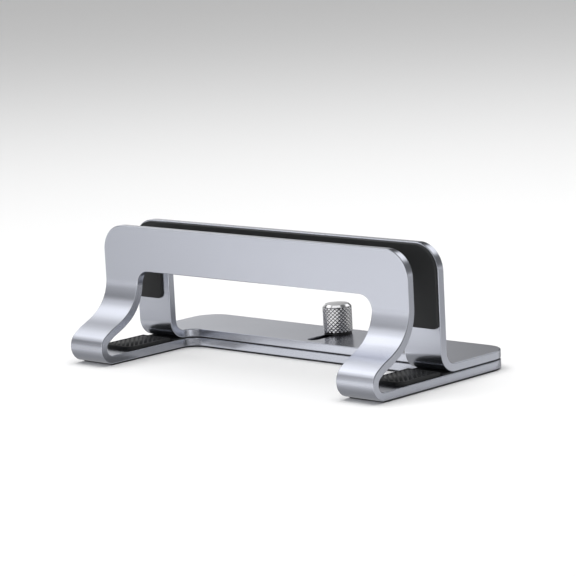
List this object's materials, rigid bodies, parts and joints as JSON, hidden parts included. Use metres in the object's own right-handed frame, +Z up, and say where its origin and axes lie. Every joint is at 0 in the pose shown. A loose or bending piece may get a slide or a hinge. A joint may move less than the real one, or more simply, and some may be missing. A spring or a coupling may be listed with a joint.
{
  "type": "vertical laptop stand",
  "caption": "Bent plate stand that clamps a closed laptop upright between a curled front frame and a rear bracket that slides and is locked by a knurled thumbscrew.",
  "frame": {"origin": "middle of the footprint on the table, with the bracket slid fully forward", "axes": "+X along the stand, to the right as seen from its front; +Y from the curled front to the flat rear; +Z up"},
  "size_m": [0.198, 0.099, 0.066],
  "materials": {
    "anodised_aluminium": "satin anodised",
    "silicone_pad": "matte",
    "foot_sheet": "matte",
    "glide_film": "matte",
    "nylon_washer": "matte",
    "plated_steel": "zinc plated",
    "nickel_plate": "bright nickel plate"
  },
  "bodies": {
    "base": {"base_frame": "anodised_aluminium", "base_foot_pad": "foot_sheet", "glide_sheet": "glide_film", "clinch_nut": "plated_steel", "guide_pin_left": "plated_steel", "guide_pin_right": "plated_steel", "front_wall_pad": "silicone_pad", "rest_pad_left": "silicone_pad", "rest_pad_right": "silicone_pad"},
    "bracket": {"sliding_bracket": "anodised_aluminium", "rear_wall_pad": "silicone_pad"},
    "washer": {"thumbscrew_washer": "nylon_washer"},
    "thumbscrew": {"thumbscrew": "nickel_plate"}
  },
  "joints": [
    {"name": "bracket_slide", "type": "slide", "parent": "base", "child": "bracket", "axis": [0, 1, 0], "range_m": [0, 0.0175]},
    {"name": "washer_lift", "type": "slide", "parent": "base", "child": "washer", "axis": [0, 0, 1], "range_m": [0, 0.0033]},
    {"name": "thumbscrew_turn", "type": "hinge", "parent": "washer", "child": "thumbscrew", "pos_m": [0, 0.038, 0.0102], "axis": [0, 0, 1], "range_deg": [0, 1440]}
  ],
  "couplings": [
    {"joint": "washer_lift", "follows": "thumbscrew_turn", "m_per_rad": 0.00012732}
  ]
}
